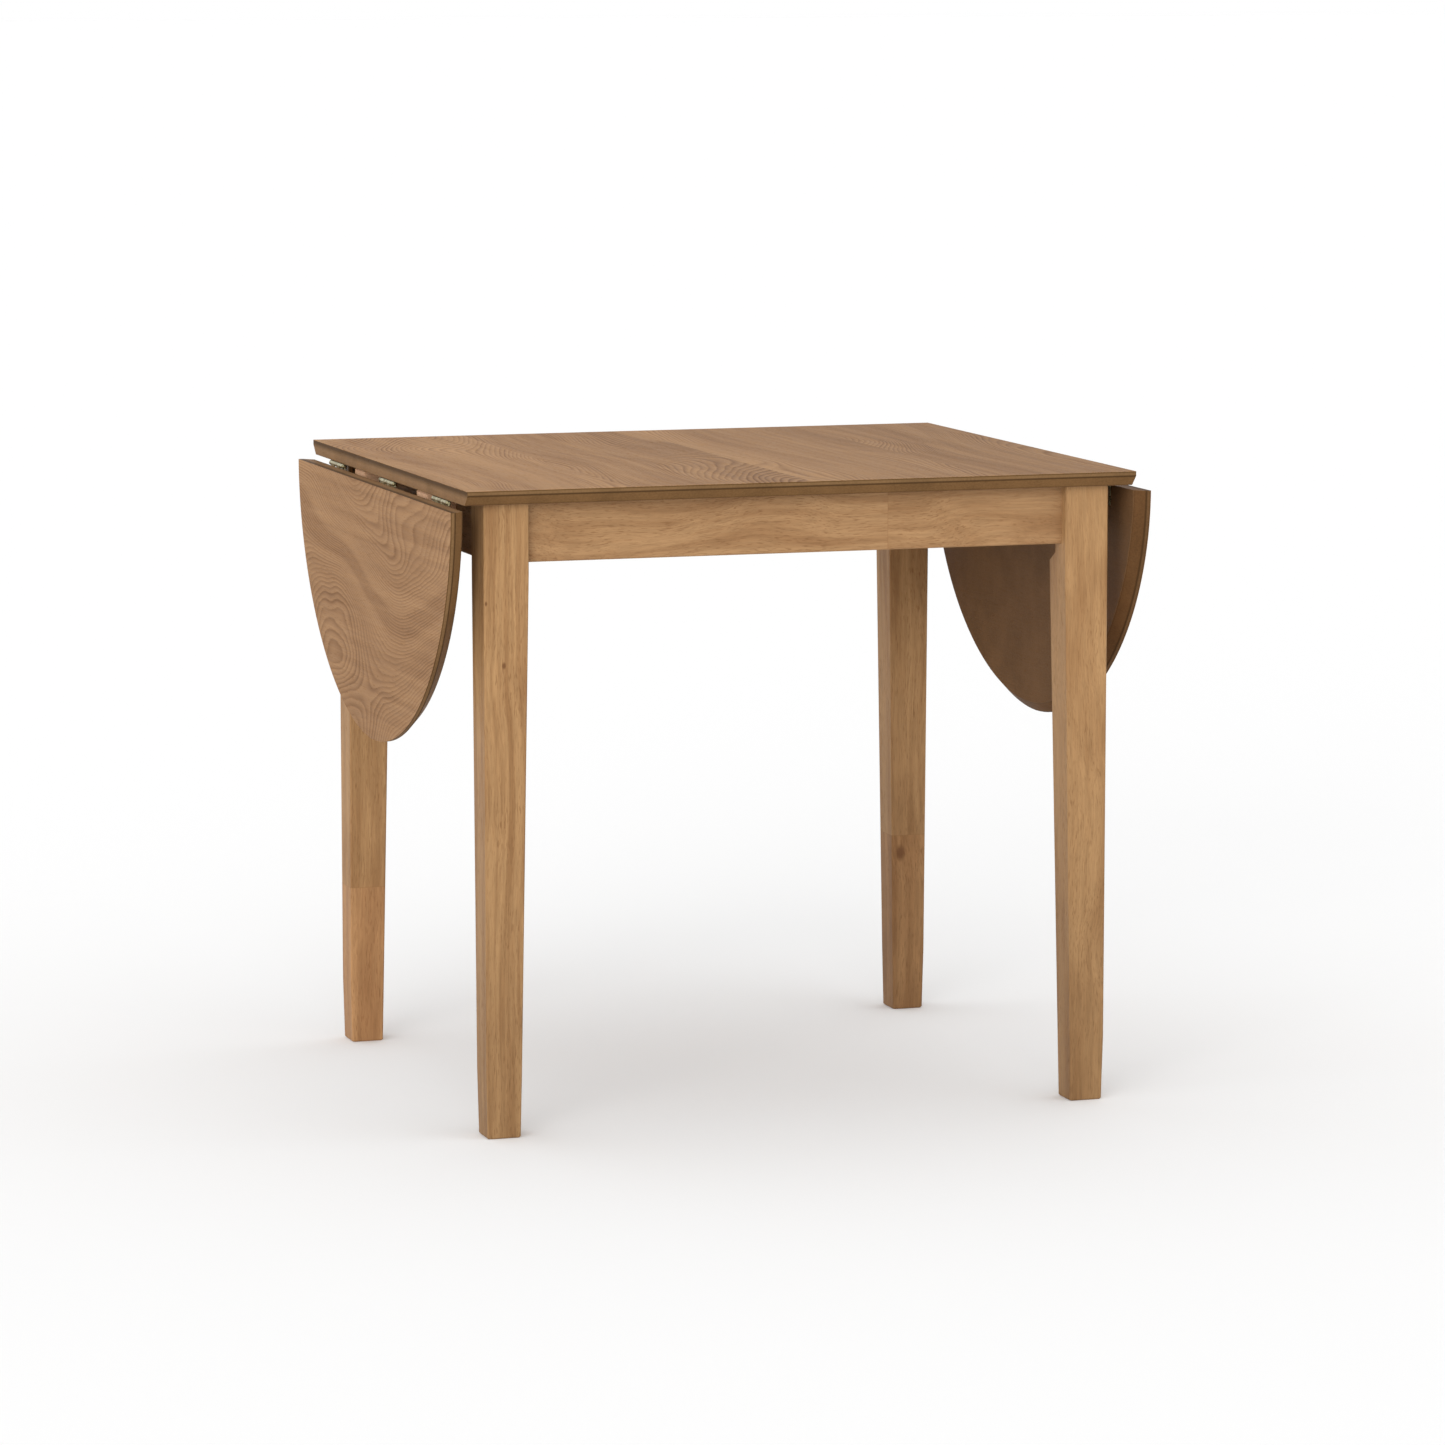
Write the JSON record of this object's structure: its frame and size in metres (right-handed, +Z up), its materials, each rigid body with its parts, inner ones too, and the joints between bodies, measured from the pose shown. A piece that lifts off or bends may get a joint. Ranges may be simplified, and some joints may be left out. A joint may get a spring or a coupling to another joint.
{
  "type": "drop leaf table",
  "caption": "Wooden dining table on tapered square legs with a rectangular top, a hanging half-oval drop leaf on each side and pull-out support runners.",
  "frame": {"origin": "on the floor, under the centre of the top", "axes": "+Z up, +X to the right along the top's long side, towards the right-hand leaf, +Y to the rear"},
  "size_m": [0.8382, 0.7, 0.74],
  "materials": {
    "oak_veneer": "satin oak veneer",
    "leg_wood": "satin lacquered solid wood",
    "runner_wood": "planed hardwood",
    "stop_wood": "dowel",
    "frame_wood": "planed softwood",
    "hinge_brass": "brass plated, satin",
    "zinc_steel": "zinc plated"
  },
  "bodies": {
    "table": {"corner_block_front_left": "frame_wood", "corner_block_front_right": "frame_wood", "corner_block_rear_left": "frame_wood", "corner_block_rear_right": "frame_wood", "corner_block_screws": "zinc_steel", "front_apron": "leg_wood", "guide_front_inner": "frame_wood", "guide_front_outer": "frame_wood", "guide_rear_inner": "frame_wood", "guide_rear_outer": "frame_wood", "guide_screws": "zinc_steel", "hinge_fixed_plate_left_front": "hinge_brass", "hinge_fixed_plate_left_middle": "hinge_brass", "hinge_fixed_plate_left_rear": "hinge_brass", "hinge_fixed_plate_right_front": "hinge_brass", "hinge_fixed_plate_right_middle": "hinge_brass", "hinge_fixed_plate_right_rear": "hinge_brass", "hinge_pin_left_front": "hinge_brass", "hinge_pin_left_middle": "hinge_brass", "hinge_pin_left_rear": "hinge_brass", "hinge_pin_right_front": "hinge_brass", "hinge_pin_right_middle": "hinge_brass", "hinge_pin_right_rear": "hinge_brass", "hinge_top_screws_left": "hinge_brass", "hinge_top_screws_right": "hinge_brass", "keeper_front_left": "frame_wood", "keeper_front_right": "frame_wood", "keeper_rear_left": "frame_wood", "keeper_rear_right": "frame_wood", "keeper_screws": "zinc_steel", "left_apron": "leg_wood", "leg_bolt_nuts": "zinc_steel", "leg_bolt_washers": "zinc_steel", "leg_front_left": "leg_wood", "leg_front_right": "leg_wood", "leg_hanger_bolts": "zinc_steel", "leg_rear_left": "leg_wood", "leg_rear_right": "leg_wood", "rear_apron": "leg_wood", "right_apron": "leg_wood", "tabletop": "oak_veneer"},
    "left_leaf": {"hinge_leaf_plate_left_front": "hinge_brass", "hinge_leaf_plate_left_middle": "hinge_brass", "hinge_leaf_plate_left_rear": "hinge_brass", "hinge_leaf_screws_left": "hinge_brass", "leaf_left": "oak_veneer"},
    "right_leaf": {"hinge_leaf_plate_right_front": "hinge_brass", "hinge_leaf_plate_right_middle": "hinge_brass", "hinge_leaf_plate_right_rear": "hinge_brass", "hinge_leaf_screws_right": "hinge_brass", "leaf_right": "oak_veneer"},
    "front_left_runner": {"runner_front_left": "runner_wood", "runner_stop_front_left": "stop_wood"},
    "front_right_runner": {"runner_front_right": "runner_wood", "runner_stop_front_right": "stop_wood"},
    "rear_left_runner": {"runner_rear_left": "runner_wood", "runner_stop_rear_left": "stop_wood"},
    "rear_right_runner": {"runner_rear_right": "runner_wood", "runner_stop_rear_right": "stop_wood"}
  },
  "joints": [
    {"name": "left_leaf_hinge", "type": "hinge", "parent": "table", "child": "left_leaf", "pos_m": [-0.3985, 0, 0.7194], "axis": [0, 1, 0], "range_deg": [0, 90]},
    {"name": "right_leaf_hinge", "type": "hinge", "parent": "table", "child": "right_leaf", "pos_m": [0.3985, 0, 0.7194], "axis": [0, -1, 0], "range_deg": [0, 90]},
    {"name": "front_left_runner_slide", "type": "slide", "parent": "table", "child": "front_left_runner", "axis": [-1, 0, 0], "range_m": [-0.03, 0.006]},
    {"name": "front_right_runner_slide", "type": "slide", "parent": "table", "child": "front_right_runner", "axis": [1, 0, 0], "range_m": [-0.03, 0.006]},
    {"name": "rear_left_runner_slide", "type": "slide", "parent": "table", "child": "rear_left_runner", "axis": [-1, 0, 0], "range_m": [-0.03, 0.006]},
    {"name": "rear_right_runner_slide", "type": "slide", "parent": "table", "child": "rear_right_runner", "axis": [1, 0, 0], "range_m": [-0.03, 0.006]}
  ]
}
